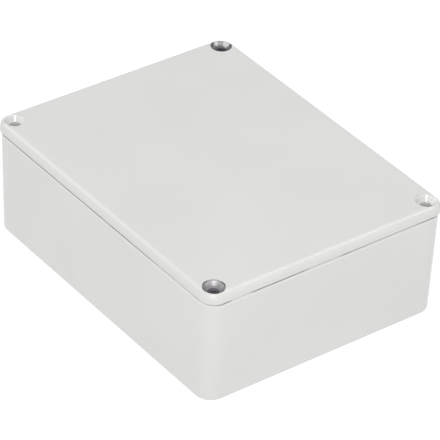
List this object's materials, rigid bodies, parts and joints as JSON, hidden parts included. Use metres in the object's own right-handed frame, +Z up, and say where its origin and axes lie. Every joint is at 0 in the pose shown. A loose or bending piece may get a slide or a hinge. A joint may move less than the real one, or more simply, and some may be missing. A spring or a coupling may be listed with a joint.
{
  "type": "die cast aluminium box",
  "caption": "Rectangular die cast aluminium enclosure with drafted walls, rounded edges and a flat screw-down lid with countersunk corner holes.",
  "frame": {"origin": "middle of the flat underside", "axes": "+Z up through the lid, +Y along the long side, +X across the short side"},
  "size_m": [0.094, 0.12, 0.042],
  "materials": {
    "painted_casting": "smooth light grey satin paint over die cast aluminium",
    "painted_lid": "smooth light grey satin paint over die cast aluminium, with two countersinks left as bare machined metal"
  },
  "bodies": {
    "root": {"base": "painted_casting", "lid": "painted_lid"}
  },
  "joints": []
}
